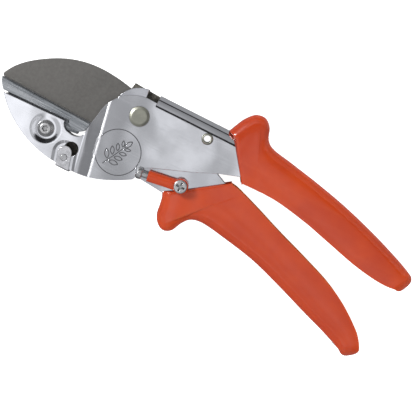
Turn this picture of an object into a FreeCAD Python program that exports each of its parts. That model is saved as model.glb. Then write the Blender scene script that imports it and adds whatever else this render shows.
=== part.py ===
# Anvil pruning shears, closed with the catch on, lying on one side of the grips.
# Outlines are drawn about the main pivot and lifted to the part's frame by each piece's Placement.
import FreeCAD, Part
import Sketcher
import math
import os

V = FreeCAD.Vector

DIMENSIONS = {
    "pivot_x": -40.995,
    "pivot_y": 14.627,
    "mid_height": 8.0,
    "grip_width": 16.0,
    "body_width": 13.0,
    "body_sheet": 1.6,
    "jaw_width": 9.0,
    "lever_width": 9.2,
    "lever_sheet": 1.5,
    "back_radius": 5.6,
    "blade_thick": 3.2,
    "blade_edge": 0.3,
    "hub_radius": 12.6,
    "bite_gap": 0.15,
    "anvil_width": 9.6,
    "anvil_stem": 5.7,
    "rivet_head_dia": 9.3,
    "rivet_face_dia": 7.0,
    "rivet_head_thick": 1.3,
    "rivet_head_side": 0.6,
    "rivet_shank_dia": 6.0,
    "bush_dia": 8.0,
    "running_gap": 0.05,
    "pin_round": 0.25,
    "side_gap": 0.1,
    "pivot_washer_dia": 13.0,
    "blade_pin_x": 12.5,
    "blade_pin_y": -11.0,
    "blade_pin_dia": 4.0,
    "blade_spacer_dia": 8.0,
    "anvil_screw_x": -35.65,
    "anvil_screw_y": -24.55,
    "anvil_screw_dia": 4.0,
    "anvil_head_dia": 7.8,
    "anvil_head_thick": 2.2,
    "anvil_head_side": 0.7,
    "anvil_head_slope": 1.5,
    "anvil_head_round": 0.4,
    "anvil_socket": 2.6,
    "anvil_socket_depth": 1.4,
    "anvil_lip": 0.5,
    "anvil_nut_across": 7.0,
    "anvil_nut_thick": 2.0,
    "dish_flat": 4.15,
    "dish_rim": 7.4,
    "dish_depth": 0.25,
    "peep_x": -21.1,
    "peep_y": -27.6,
    "peep_dia": 6.6,
    "crease_run": 6.0,
    "crease_outer_radius": 3.5,
    "crease_inner_radius": 9.0,
    "clip_x": -22.4,
    "clip_y": -32.6,
    "clip_lean": 16.0,
    "clip_width": 6.4,
    "clip_sheet": 0.9,
    "clip_top": 5.4,
    "clip_foot": 9.0,
    "clip_fold_y": -36.7,
    "clip_rivet_dia": 3.2,
    "clip_rivet_stand": 0.25,
    "clip_recess": 0.6,
    "clip_recess_margin": 1.2,
    "clip_recess_slope": 2.2,
    "spring_pin_x": 32.1,
    "spring_pin_y": 5.1,
    "spring_pin_dia": 4.2,
    "spring_pin_bore": 3.3,
    "spring_pin_rim": 5.4,
    "spring_pin_flare": 0.5,
    "spring_foot_x": 35.9,
    "spring_foot_y": -13.1,
    "spring_foot_dia": 3.0,
    "cup_dia": 5.8,
    "cup_reach": 3.0,
    "cup_flange": 0.8,
    "peg_dia": 3.2,
    "peg_length": 1.8,
    "spring_dia": 5.6,
    "spring_wire": 1.0,
    "spring_turns": 8.0,
    "catch_x": 31.1,
    "catch_y": -19.5,
    "catch_height": 17.4,
    "catch_angle": 189.3,
    "catch_eye_dia": 7.2,
    "catch_sleeve_dia": 5.2,
    "catch_core_dia": 3.4,
    "catch_core_wall": 1.3,
    "catch_core_round": 0.2,
    "catch_sleeve_round": 0.8,
    "spacer_wall": 0.65,
    "catch_length": 15.6,
    "catch_neck_dia": 3.0,
    "stud_reach": 18.4,
    "stud_dia": 5.4,
    "stud_thick": 2.3,
    "stud_round": 0.5,
    "catch_screw_dia": 3.0,
    "catch_head_dia": 6.2,
    "catch_head_thick": 1.7,
    "catch_head_round": 0.6,
    "cross_reach": 2.0,
    "cross_half": 0.43,
    "cross_depth": 1.0,
    "catch_nut_across": 5.5,
    "catch_nut_thick": 2.2,
    "emblem_x": -1.3,
    "emblem_y": -19.0,
    "emblem_radius": 10.75,
    "engraving": 0.2,
    "engraving_line": 0.4,
    "leaf_length": 4.9,
    "leaf_spacing": 2.9,
    "stem_foot": -8.6,
    "stem_tip": 3.0,
    "sprig_lean": -28.0,
    "grip_round": 2.8,
    "grip_wall": 2.5,
    "catch_scoop": 1.7,
    "catch_scoop_gap": 0.6,
}

FAR = 200.0  # longer than the tool, for cutters that reach right past it
LEVEL = 1e-6  # an edge whose height changes by less than this lies flat

doc = FreeCAD.newDocument("pruning_shears")
sheet = doc.addObject("Spreadsheet::Sheet", "Dims")
for row, (alias, value) in enumerate(DIMENSIONS.items(), start=1):
    sheet.set("A%d" % row, alias)
    sheet.set("B%d" % row, str(value))
    sheet.setAlias("B%d" % row, alias)
doc.recompute()

subparts = []


def dim(alias):
    """One driving dimension, in millimetres or degrees, as the sheet holds it."""
    return float(sheet.get(alias))


PIVOT = V(dim("pivot_x"), dim("pivot_y"), 0)
MID = dim("mid_height")
BODY_TOP = MID + dim("body_width") / 2
BODY_INSIDE = BODY_TOP - dim("body_sheet")
JAW_TOP = MID + dim("jaw_width") / 2
JAW_INSIDE = JAW_TOP - dim("body_sheet")
GRIP_TOP = MID + dim("grip_width") / 2


# ---------------------------------------------------------------- shape helpers

def outline(start, *runs):
    """A closed wire. A run of one point is a line, of two an arc, of more a smooth curve."""
    edges = []
    here = V(*start)
    for run in runs:
        points = [V(*point) for point in run]
        if len(points) == 1:
            edges.append(Part.LineSegment(here, points[0]).toShape())
        elif len(points) == 2:
            edges.append(Part.Arc(here, points[0], points[1]).toShape())
        else:
            curve = Part.BSplineCurve()
            curve.interpolate([here] + points)
            edges.append(curve.toShape())
        here = points[-1]
    return Part.Wire(edges)


def slab(wire, low, high):
    """The outline as a flat solid between two heights."""
    face = Part.Face(wire)
    face.translate(V(0, 0, low))
    return face.extrude(V(0, 0, high - low))


def centred(wire, width):
    """The outline as a solid of this width about the mid-plane."""
    return slab(wire, MID - width / 2, MID + width / 2)


def cylinder(x, y, low, high, diameter):
    return Part.makeCylinder(diameter / 2, high - low, V(x, y, low))


def bore(x, y, diameter):
    return cylinder(x, y, -FAR, FAR, diameter)


def mirrored(shape):
    """The same shape on the other side of the mid-plane."""
    return shape.mirror(V(0, 0, MID), V(0, 0, 1))


def is_level(edge):
    return edge.BoundBox.ZLength < LEVEL


def is_round(edge):
    return edge.Curve.TypeId == "Part::GeomCircle"


def round_back(solid, radius, picked):
    """Rounds the level edges whose middles the test picks."""
    edges = [edge for edge in solid.Edges if is_level(edge) and picked(edge.CenterOfMass)]
    return solid.makeFillet(radius, edges)


def add_feature(label, shape):
    """A sub-part whose shape is set here, in place about the pivot."""
    feature = doc.addObject("Part::Feature", label)
    feature.Label = label
    feature.Shape = shape
    feature.Placement = FreeCAD.Placement(PIVOT, FreeCAD.Rotation())
    subparts.append(feature)
    return feature


# ---------------------------------------------------------------- body helpers

def new_body(label, x, y, z="0"):
    """A PartDesign body with its place bound to the sheet."""
    body = doc.addObject("PartDesign::Body", label)
    body.Label = label
    body.setExpression("Placement.Base.x", "Dims.pivot_x + (%s)" % x)
    body.setExpression("Placement.Base.y", "Dims.pivot_y + (%s)" % y)
    body.setExpression("Placement.Base.z", z)
    subparts.append(body)
    return body


def origin_plane(body, role):
    return [item for item in body.Origin.OriginFeatures if item.Role == role][0]


def bind(sketch, kind, geometry, point, expression):
    """Fixes one coordinate of a sketch point to an expression."""
    value = 1.0
    index = sketch.addConstraint(Sketcher.Constraint(kind, -1, 1, geometry, point, value))
    sketch.setExpression("Constraints[%d]" % index, expression)


def polygon_sketch(body, name, role, corners):
    """A closed polygon whose corners are pairs of expressions; "" keeps a corner on that axis."""
    sketch = body.newObject("Sketcher::SketchObject", name)
    sketch.AttachmentSupport = (origin_plane(body, role), [""])
    sketch.MapMode = "FlatFace"
    count = len(corners)
    for index in range(count):
        turn = 2 * math.pi * index / count
        after = 2 * math.pi * (index + 1) / count
        start = V(math.cos(turn), math.sin(turn), 0)
        end = V(math.cos(after), math.sin(after), 0)
        sketch.addGeometry(Part.LineSegment(start, end))
    for index in range(count):
        sketch.addConstraint(Sketcher.Constraint("Coincident", index, 2, (index + 1) % count, 1))
    for index, (across, along) in enumerate(corners):
        if across:
            bind(sketch, "DistanceX", index, 1, across)
        else:
            sketch.addConstraint(Sketcher.Constraint("PointOnObject", index, 1, -2))
        if along:
            bind(sketch, "DistanceY", index, 1, along)
        else:
            sketch.addConstraint(Sketcher.Constraint("PointOnObject", index, 1, -1))
    return sketch


def revolve(body, name, corners):
    """A turned piece about the body's own Z axis; corners are (radius, height)."""
    sketch = polygon_sketch(body, name + "_profile", "XZ_Plane", corners)
    turned = body.newObject("PartDesign::Revolution", name)
    turned.Profile = sketch
    turned.ReferenceAxis = (sketch, ["V_Axis"])
    turned.Angle = 360
    return turned


def hexagon(body, name, across, height):
    """A regular hexagon sketch with this distance across its flats, at a height."""
    flat = "(%s)/2" % across
    corner = "(%s)/sqrt(3)" % across
    corners = [("", corner), ("-" + flat, corner + "/2"), ("-" + flat, "-%s/2" % corner),
               ("", "-" + corner), (flat, "-%s/2" % corner), (flat, corner + "/2")]
    sketch = polygon_sketch(body, name, "XY_Plane", corners)
    sketch.setExpression("AttachmentOffset.Base.z", height)
    return sketch


def circle_sketch(body, name, diameter, height, role="XY_Plane"):
    """A circle about the middle of an origin plane, lifted off it by a height."""
    sketch = body.newObject("Sketcher::SketchObject", name)
    sketch.AttachmentSupport = (origin_plane(body, role), [""])
    sketch.MapMode = "FlatFace"
    sketch.setExpression("AttachmentOffset.Base.z", height)
    sketch.addGeometry(Part.Circle(V(0, 0, 0), V(0, 0, 1), 1))
    sketch.addConstraint(Sketcher.Constraint("Coincident", 0, 3, -1, 1))
    index = sketch.addConstraint(Sketcher.Constraint("Diameter", 0, 1.0))
    sketch.setExpression("Constraints[%d]" % index, diameter)
    return sketch


def pad(body, name, sketch, length):
    feature = body.newObject("PartDesign::Pad", name)
    feature.Profile = sketch
    feature.setExpression("Length", length)
    return feature


def pocket(body, name, sketch, depth):
    """Cuts downwards from the sketch and checks that something was cut."""
    doc.recompute()
    before = body.Shape.Volume
    feature = body.newObject("PartDesign::Pocket", name)
    feature.Profile = sketch
    feature.setExpression("Length", depth)
    doc.recompute()
    if body.Shape.Volume > before - 1e-4:
        raise RuntimeError("%s cut nothing" % name)
    return feature


def fillet(body, name, base, radius, test):
    """Rounds the edges of the base feature that pass the test."""
    doc.recompute()
    names = ["Edge%d" % (i + 1) for i, edge in enumerate(base.Shape.Edges) if test(edge)]
    feature = body.newObject("PartDesign::Fillet", name)
    feature.Base = (base, names)
    feature.setExpression("Radius", radius)
    return feature


# ---------------------------------------------------------------- turned pieces

BODY_HALF = "Dims.body_width/2"
LEVER_HALF = "Dims.lever_width/2"
RIVET_END = "(Dims.body_width/2 + Dims.rivet_head_thick)"


def pivot_rivet():
    body = new_body("pivot_rivet", "0", "0", "Dims.mid_height")
    face = "Dims.rivet_face_dia/2"
    head = "Dims.rivet_head_dia/2"
    shank = "Dims.rivet_shank_dia/2"
    side = "Dims.rivet_head_thick*Dims.rivet_head_side"
    corners = [("", "-" + RIVET_END), (face, "-" + RIVET_END), (head, "-(%s + %s)" % (BODY_HALF, side)),
               (head, "-" + BODY_HALF), (shank, "-" + BODY_HALF), (shank, BODY_HALF),
               (head, BODY_HALF), (head, "%s + %s" % (BODY_HALF, side)), (face, RIVET_END), ("", RIVET_END)]
    revolve(body, "rivet", corners)


def pivot_bush():
    body = new_body("pivot_bush", "0", "0", "Dims.mid_height")
    inside = "Dims.rivet_shank_dia/2 + Dims.running_gap"
    outside = "Dims.bush_dia/2"
    end = "(Dims.body_width/2 - Dims.body_sheet - Dims.side_gap)"
    revolve(body, "bush", [(inside, "-" + end), (outside, "-" + end), (outside, end), (inside, end)])


def cross_pin(label, x, y, diameter, end):
    """A plain pin across two plates, with its ends rounded off."""
    body = new_body(label, x, y, "Dims.mid_height")
    radius = diameter + "/2"
    turned = revolve(body, label + "_pin", [("", "-(%s)" % end), (radius, "-(%s)" % end),
                                            (radius, end), ("", end)])
    fillet(body, label + "_ends", turned, "Dims.pin_round", is_round)


def spring_pin():
    """A hollow rivet through the arm, with its ends flared over the plates."""
    body = new_body("spring_pin", "Dims.spring_pin_x", "Dims.spring_pin_y", "Dims.mid_height")
    inside = "Dims.spring_pin_bore/2"
    outside = "Dims.spring_pin_dia/2"
    rim = "Dims.spring_pin_rim/2"
    end = "(%s + Dims.spring_pin_flare)" % BODY_HALF
    flare = "(%s - Dims.spring_pin_flare)" % rim
    revolve(body, "tube", [(inside, "-" + end), (flare, "-" + end), (rim, "-" + BODY_HALF),
                           (outside, "-" + BODY_HALF), (outside, BODY_HALF), (rim, BODY_HALF),
                           (flare, end), (inside, end)])


def lever_pins():
    """The blade's drive pin, flush with the plates, and the spring's foot, let into them from inside."""
    cross_pin("spring_foot_pin", "Dims.spring_foot_x", "Dims.spring_foot_y", "Dims.spring_foot_dia",
              "(%s - Dims.lever_sheet/2)" % LEVER_HALF)
    cross_pin("blade_pin", "Dims.blade_pin_x", "Dims.blade_pin_y", "Dims.blade_pin_dia", LEVER_HALF)


def anvil_screw():
    body = new_body("anvil_screw", "Dims.anvil_screw_x", "Dims.anvil_screw_y", "Dims.mid_height")
    seat = "(Dims.jaw_width/2 - Dims.dish_depth)"
    top = "(%s + Dims.anvil_head_thick)" % seat
    shank = "Dims.anvil_screw_dia/2"
    head = "Dims.anvil_head_dia/2"
    low = "-(Dims.jaw_width/2 + Dims.anvil_nut_thick)"
    side = seat + " + Dims.anvil_head_side"
    crown = head + " - Dims.anvil_head_slope"
    revolve(body, "screw", [("", low), (shank, low), (shank, seat), (head, seat),
                            (head, side), (crown, top), ("", top)])
    socket = hexagon(body, "socket_outline", "Dims.anvil_socket", top)
    pocket(body, "socket", socket, "Dims.anvil_socket_depth")
    doc.recompute()
    narrowest = dim("anvil_head_dia") / 2 - dim("anvil_head_slope") - dim("anvil_head_round")
    lowest = dim("jaw_width") / 2

    def shoulder(edge):
        return is_round(edge) and edge.Curve.Radius > narrowest and edge.BoundBox.ZMax > lowest

    fillet(body, "dome", body.Tip, "Dims.anvil_head_round", shoulder)


def nut(label, x, y, across, height, thick, hole):
    """A hexagon nut below a height."""
    body = new_body(label, x, y, "Dims.mid_height")
    pad_top = "(%s)" % height
    blank = hexagon(body, label + "_outline", across, pad_top + " - " + thick)
    pad(body, label + "_blank", blank, thick)
    pocket(body, label + "_thread", circle_sketch(body, label + "_hole", hole, pad_top), thick)


def nuts():
    nut("anvil_screw_nut", "Dims.anvil_screw_x", "Dims.anvil_screw_y", "Dims.anvil_nut_across",
        "-Dims.jaw_width/2", "Dims.anvil_nut_thick", "Dims.anvil_screw_dia")
    nut("catch_nut", "Dims.catch_x", "Dims.catch_y", "Dims.catch_nut_across",
        "Dims.lever_width/2 - Dims.lever_sheet", "Dims.catch_nut_thick", "Dims.catch_screw_dia")


def clip_rivet():
    body = new_body("jaw_clip_rivet", "Dims.clip_x", "Dims.clip_y", "Dims.mid_height")
    radius = "Dims.clip_rivet_dia/2"
    end = "(Dims.jaw_width/2 - Dims.clip_recess + Dims.clip_sheet + Dims.clip_rivet_stand)"
    turned = revolve(body, "clip_rivet", [("", "-" + end), (radius, "-" + end), (radius, end), ("", end)])
    fillet(body, "clip_rivet_ends", turned, "Dims.pin_round", is_round)


def catch_screw():
    body = new_body("catch_screw", "Dims.catch_x", "Dims.catch_y")
    shank = "Dims.catch_screw_dia/2"
    head = "Dims.catch_head_dia/2"
    seat = "(Dims.catch_height + Dims.catch_sleeve_dia/2 + Dims.running_gap)"
    top = "(%s + Dims.catch_head_thick)" % seat
    low = "(Dims.mid_height + Dims.lever_width/2 - Dims.lever_sheet - Dims.catch_nut_thick)"
    turned = revolve(body, "catch_screw_turned", [("", low), (shank, low), (shank, seat), (head, seat),
                                                  (head, top), ("", top)])
    limit = dim("catch_head_dia") / 2 - dim("running_gap")
    fillet(body, "catch_screw_rim", turned, "Dims.catch_head_round",
           lambda edge: is_round(edge) and edge.Curve.Radius > limit)
    reach = "Dims.cross_reach"
    half = "Dims.cross_half"
    for name, across, along in (("slot", reach, half), ("cross_slot", half, reach)):
        corners = [("-" + across, "-" + along), (across, "-" + along), (across, along), ("-" + across, along)]
        sketch = polygon_sketch(body, name + "_outline", "XY_Plane", corners)
        sketch.setExpression("AttachmentOffset.Base.z", top)
        pocket(body, name, sketch, "Dims.cross_depth")


def strut_direction():
    """The way that the catch points from its screw, as a unit vector."""
    turn = math.radians(dim("catch_angle"))
    return V(math.cos(turn), math.sin(turn), 0)


def catch_stud():
    """The disc-headed stud on the free end of the catch; its axis is the strut's."""
    body = new_body("catch_stud", "Dims.catch_x", "Dims.catch_y", "Dims.catch_height")
    turn = FreeCAD.Rotation(V(0, 0, 1), strut_direction())
    body.Placement = FreeCAD.Placement(V(0, 0, 0), turn)
    neck = "Dims.catch_neck_dia/2"
    disc = "Dims.stud_dia/2"
    near = "Dims.catch_length"
    start = "Dims.stud_reach"
    end = "(Dims.stud_reach + Dims.stud_thick)"
    corners = [("", near), (neck, near), (neck, start), (disc, start), (disc, end), ("", end)]
    turned = revolve(body, "stud", corners)
    limit = dim("stud_dia") / 2 - dim("running_gap")
    fillet(body, "stud_rim", turned, "Dims.stud_round",
           lambda edge: is_round(edge) and edge.Curve.Radius > limit)


def spring_cups():
    """The flanged pegs that centre the spring, one on each cross pin."""
    pin = V(dim("spring_pin_x"), dim("spring_pin_y"), MID)
    foot = V(dim("spring_foot_x"), dim("spring_foot_y"), MID)
    line = (foot - pin).normalize()
    for label, x, y, way, hole in (
            ("spring_cup_upper", "Dims.spring_pin_x", "Dims.spring_pin_y", line, "Dims.spring_pin_dia"),
            ("spring_cup_lower", "Dims.spring_foot_x", "Dims.spring_foot_y", -line, "Dims.spring_foot_dia")):
        body = new_body(label, x, y, "Dims.mid_height")
        body.Placement = FreeCAD.Placement(V(0, 0, 0), FreeCAD.Rotation(V(0, 0, 1), V(), way, "ZXY"))
        flange = "Dims.cup_dia/2"
        peg = "Dims.peg_dia/2"
        face = "Dims.cup_reach"
        back = "-(%s/2 + Dims.cup_flange)" % hole
        tip = "(%s + Dims.peg_length)" % face
        corners = [("", back), (flange, back), (flange, face), (peg, face), (peg, tip), ("", tip)]
        revolve(body, label + "_turned", corners)
        bore_start = circle_sketch(body, label + "_eye", hole, "Dims.cup_dia/2", "YZ_Plane")
        pocket(body, label + "_bore", bore_start, "Dims.cup_dia")


def ring_pair(label, x, y, outside, inside, low, thick):
    """Two equal washers, one each side of the mid-plane, as one group."""
    rings = []
    for side, base in (("front", "Dims.mid_height + %s" % low),
                       ("back", "Dims.mid_height - %s - %s" % (low, thick))):
        disc = doc.addObject("Part::Cylinder", "%s_%s_disc" % (label, side))
        hole = doc.addObject("Part::Cylinder", "%s_%s_hole" % (label, side))
        disc.setExpression("Radius", outside + "/2")
        hole.setExpression("Radius", inside + "/2")
        for item in (disc, hole):
            item.setExpression("Height", thick)
            item.setExpression("Placement.Base.z", base)
        ring = doc.addObject("Part::Cut", "%s_%s" % (label, side))
        ring.Base = disc
        ring.Tool = hole
        rings.append(ring)
    group = doc.addObject("Part::Compound", label)
    group.Label = label
    group.Links = rings
    group.setExpression("Placement.Base.x", "Dims.pivot_x + " + x)
    group.setExpression("Placement.Base.y", "Dims.pivot_y + " + y)
    subparts.append(group)


def washers():
    gap = "(Dims.lever_width/2 - Dims.lever_sheet - Dims.blade_thick/2)"
    ring_pair("pivot_washers", "0", "0", "Dims.pivot_washer_dia", "Dims.bush_dia", "Dims.blade_thick/2", gap)
    ring_pair("blade_spacers", "Dims.blade_pin_x", "Dims.blade_pin_y", "Dims.blade_spacer_dia",
              "Dims.blade_pin_dia", "Dims.blade_thick/2", gap)


def catch_spacer():
    """The tube that holds the catch clear of the lever plate."""
    low = "(Dims.mid_height + Dims.lever_width/2)"
    tall = "(Dims.catch_height - Dims.catch_sleeve_dia/2 - %s)" % low
    tube = doc.addObject("Part::Cylinder", "spacer_outside")
    hole = doc.addObject("Part::Cylinder", "spacer_hole")
    tube.setExpression("Radius", "Dims.catch_screw_dia/2 + Dims.spacer_wall")
    hole.setExpression("Radius", "Dims.catch_screw_dia/2")
    for item in (tube, hole):
        item.setExpression("Height", tall)
        item.setExpression("Placement.Base.z", low)
    spacer = doc.addObject("Part::Cut", "catch_spacer")
    spacer.Label = "catch_spacer"
    spacer.Base = tube
    spacer.Tool = hole
    spacer.setExpression("Placement.Base.x", "Dims.pivot_x + Dims.catch_x")
    spacer.setExpression("Placement.Base.y", "Dims.pivot_y + Dims.catch_y")
    subparts.append(spacer)


# ---------------------------------------------------------------- catch

def catch_solid(eye_dia, rod_dia, eye_tall, length, rim):
    """An eye with rounded rims and a round rod, about the catch screw, along the strut."""
    middle = dim("catch_height")
    x = dim("catch_x")
    y = dim("catch_y")
    eye = cylinder(x, y, middle - eye_tall / 2, middle + eye_tall / 2, eye_dia)
    eye = eye.makeFillet(rim, [edge for edge in eye.Edges if is_level(edge)])
    rod = Part.makeCylinder(rod_dia / 2, length, V(x, y, middle), strut_direction())
    return eye.fuse(rod)


def catch():
    hole = bore(dim("catch_x"), dim("catch_y"), dim("catch_screw_dia") + 2 * dim("running_gap"))
    core_eye = dim("catch_screw_dia") + 2 * dim("catch_core_wall")
    core_dia = dim("catch_core_dia")
    sleeve_dia = dim("catch_sleeve_dia")
    length = dim("catch_length")
    core = catch_solid(core_eye, core_dia, core_dia, length, dim("catch_core_round"))
    coat = catch_solid(dim("catch_eye_dia"), sleeve_dia, sleeve_dia, length, dim("catch_sleeve_round"))
    add_feature("catch_arm", core.cut(hole))
    add_feature("catch_sleeve", coat.cut(core).cut(hole))


# ---------------------------------------------------------------- blade and anvil

EDGE_TIP = (-64.0, -12.15)
EDGE_HEEL = (-18.0, -12.95)
SPINE = 12.0  # height over the pivot where the grinding starts
GRIND_END = -2.0  # how far along the blade it runs


def blade():
    """A flat blade, ground on both faces from the spine to the edge outside its round hub."""
    wire = outline(EDGE_TIP,
                   ((-64.5, -11.4), (-64.5, -10.6)),
                   ((-60.5, -4.6), (-52.0, 2.5), (-42.4, 7.8), (-32.0, 10.8), (-21.1, 11.2), (-9.0, 9.4)),
                   ((1.5, 6.8),),
                   ((17.0, -7.0),),
                   ((16.8, -14.0), (10.0, -15.0)),
                   ((-9.0, -9.0),),
                   (EDGE_HEEL,),
                   (EDGE_TIP,))
    solid = centred(wire, dim("blade_thick"))
    half = dim("blade_thick") / 2
    thin = dim("blade_edge") / 2
    edge = EDGE_HEEL[1] - 1
    above = MID + half + 1
    corners = [V(-FAR, edge, MID + thin), V(-FAR, SPINE, MID + half),
               V(-FAR, SPINE, above), V(-FAR, edge, above)]
    ground = Part.Face(Part.makePolygon(corners + [corners[0]]))
    wedge = ground.extrude(V(FAR + GRIND_END, 0, 0)).cut(bore(0, 0, 2 * dim("hub_radius")))
    solid = solid.cut(wedge).cut(mirrored(wedge))
    solid = solid.cut(bore(0, 0, dim("bush_dia")))
    solid = solid.cut(bore(dim("blade_pin_x"), dim("blade_pin_y"), dim("blade_pin_dia")))
    add_feature("blade", solid)


def anvil():
    """The anvil's wide strip and heel lug, with a narrower stem between the jaw plates."""
    gap = dim("bite_gap")
    strip = outline((-63.9, EDGE_TIP[1] - gap),
                    ((-18.4, EDGE_HEEL[1] - gap),),
                    ((-18.9, -15.6),),
                    ((-20.1, -18.0), (-22.2, -19.2), (-24.6, -19.2), (-26.8, -18.2), (-27.6, -16.2)),
                    ((-60.6, -17.6),),
                    ((-62.6, -15.2), (-63.9, EDGE_TIP[1] - gap)))
    stem = outline((-59.0, -17.0), ((-22.0, -15.5),), ((-22.0, -20.4),), ((-28.5, -21.2),), ((-31.0, -28.5),),
                   ((-40.5, -28.5),), ((-57.0, -20.5),), ((-59.0, -17.0),))
    solid = centred(strip, dim("anvil_width"))
    bite = EDGE_HEEL[1] - 2 * gap
    lip = [edge for edge in solid.Edges if edge.BoundBox.XLength > 40 and edge.CenterOfMass.y > bite]
    solid = solid.makeChamfer(dim("anvil_lip"), lip)
    solid = solid.fuse(centred(stem, dim("anvil_stem")))
    solid = solid.cut(bore(dim("anvil_screw_x"), dim("anvil_screw_y"), dim("anvil_screw_dia")))
    add_feature("anvil", solid)


# ---------------------------------------------------------------- body channel

CUT_EDGE_X = 4.4
CREASE_TOP = V(-14.1, -4.2, 0)
CREASE_FOOT = V(-8.4, -34.8, 0)
BACK_START = 12.8  # height of the arm's back over the pivot where the fold begins
BACK_END = 13.25  # and where it enters the grip

GRIP_START = 43.7
ARM_BACK = [(57.0, 12.6), (72.0, 11.0), (88.0, 8.0), (104.0, 4.2), (120.0, -0.5), (136.0, -6.2)]
ARM_INSIDE = [(122.0, -12.8), (104.0, -8.8), (88.0, -5.2), (72.0, -2.9), (54.6, -2.9)]


def arm_back(inset):
    """The arm's back line inside the grip, moved inwards by the inset."""
    return [(x, y - inset) for x, y in ARM_BACK]


def arm_solid():
    wire = outline((CUT_EDGE_X, BACK_START),
                   ((GRIP_START, BACK_END),),
                   arm_back(0),
                   ((140.6, -10.0), (136.4, -13.4)),
                   ARM_INSIDE,
                   ((43.2, -6.9),), ((32.0, -11.9),), ((15.4, -18.5),), ((9.6, -21.4),),
                   ((CUT_EDGE_X, -22.5),), ((CUT_EDGE_X, BACK_START),))
    solid = centred(wire, dim("body_width"))

    def back(middle):
        return middle.y > 10.0 or (middle.x > 60 and middle.y > -2 and middle.x < 125)

    return round_back(solid, dim("back_radius"), back)


def arm_cavity():
    gap = dim("body_sheet")
    width = dim("body_width") - 2 * gap
    wire = outline((-30.0, BACK_START - gap),
                   ((CUT_EDGE_X, BACK_START - gap),),
                   ((GRIP_START, BACK_END - gap),),
                   arm_back(gap),
                   ((138.8, -10.0),), ((138.8, -80.0),), ((-30.0, -80.0),), ((-30.0, BACK_START - gap),))
    solid = centred(wire, width)

    def back(middle):
        return middle.y > 8.5 or (middle.x > 60 and middle.y > -4 and middle.x < 125)

    return round_back(solid, dim("back_radius") - gap, back)


def bent_sheet():
    """Front sheet with the joggle: flat over the head, one step lower over the jaw."""
    along = (CREASE_FOOT - CREASE_TOP).normalize()
    across = V(-along.y, along.x, 0)
    if across.x < 0:
        across = -across
    slope = dim("crease_run")
    shift = dim("body_sheet") * (BODY_TOP - JAW_TOP) / (2 * slope)  # keeps the sloping part one sheet thick
    section = [(-FAR, JAW_TOP), (-slope, JAW_TOP), (0, BODY_TOP), (FAR, BODY_TOP),
               (FAR, BODY_INSIDE), (shift, BODY_INSIDE), (shift - slope, JAW_INSIDE), (-FAR, JAW_INSIDE)]
    start = CREASE_TOP - along * FAR
    points = [start + across * u + V(0, 0, z) for u, z in section]
    solid = Part.Face(Part.makePolygon(points + [points[0]])).extrude(along * (3 * FAR))
    for place, radius in ((0, dim("crease_outer_radius")), (-slope, dim("crease_inner_radius"))):
        bends = []
        for edge in solid.Edges:
            if is_level(edge) and abs((edge.CenterOfMass - start).dot(across) - place) < 1:
                bends.append(edge)
        solid = solid.makeFillet(radius, bends)
    return solid


JAW_AND_BELLY = [
    ((-29.6, -17.4),),
    ((-28.3, -20.2), (-25.6, -21.4)),
    ((-23.0, -21.7), (-20.2, -20.6)),
    ((-19.0, -18.4), (-19.1, -16.2)),
    ((-17.6, -9.0),),
]


def plate_outline(rear):
    """The head and jaw plate. The rear plate stands taller than the front one."""
    if rear:
        top = [((-15.0, -1.8), (-10.2, 6.4)), ((-9.2, 12.6),), ((CUT_EDGE_X, 12.0),), ((CUT_EDGE_X, 6.2),)]
    else:
        top = [((-10.4, 5.1), (0.5, 9.1)), ((CUT_EDGE_X, 9.0),), ((CUT_EDGE_X, 6.2),)]
    belly = [((10.8, -25.6),), ((10.3, -26.9),),
             ((5.2, -30.0), (-0.8, -32.9), (-7.3, -35.2), (-15.0, -36.5), (-24.6, -36.4), (-35.2, -34.7),
              (-45.3, -30.7), (-53.0, -25.8), (-60.2, -18.6))]
    return outline((-60.2, -18.6), *JAW_AND_BELLY, ((-16.9, -5.0),), *top,
                   ((12.0, 5.0),), ((15.4, -18.5),), ((9.1, -21.3),), *belly)


LEAF_PAIRS = 4
LEAF_SPREAD = 58.0  # how far the lowest leaves lean from the stem
LEAF_FULLNESS = 0.24  # half width over length


def pointed_leaf(length, inset, low, high):
    """A leaf drawn from two arcs, set in by an inset at its sides and more at its points."""
    middle = length / 2
    point = inset * 1.6
    belly = length * LEAF_FULLNESS - inset
    right = ((belly, middle), (0, length - point))
    left = ((-belly, middle), (0, point))
    return slab(outline((0, point), right, left), low, high)


def leaf(length, root, turn):
    """Cutter for the outline of one pointed leaf."""
    low = BODY_TOP - dim("engraving")
    high = BODY_TOP + 1
    island = pointed_leaf(length, dim("engraving_line"), low - 1, high + 1)
    wall = pointed_leaf(length, 0, low, high).cut(island)
    wall.rotate(V(0, 0, 0), V(0, 0, 1), -turn)
    wall.translate(root)
    return wall


def engraved_lines():
    """The emblem as cutters: a ring round a plain leaf sprig."""
    x = dim("emblem_x")
    y = dim("emblem_y")
    line = dim("engraving_line")
    radius = dim("emblem_radius")
    low = BODY_TOP - dim("engraving")
    high = BODY_TOP + 1
    ring = cylinder(x, y, low, high, 2 * radius).cut(cylinder(x, y, low - 1, high + 1, 2 * (radius - line)))
    foot = dim("stem_foot")
    tip = dim("stem_tip")
    lines = [Part.makeBox(line, tip - foot, high - low, V(-line / 2, foot, low))]
    length = dim("leaf_length")
    for index in range(LEAF_PAIRS):
        height = foot + dim("leaf_spacing") * (index + 1)
        for side in (-1, 1):
            shrunk = length * (1 - 0.1 * index)
            lines.append(leaf(shrunk, V(side * 1.2 * line, height, 0), side * (LEAF_SPREAD - 4 * index)))
    lines.append(leaf(length, V(0, tip + 1.2 * line, 0), 0))
    sprig = Part.makeCompound(lines)
    sprig.rotate(V(0, 0, 0), V(0, 0, 1), dim("sprig_lean"))
    sprig.translate(V(x, y, 0))
    return [ring] + sprig.Solids


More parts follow.
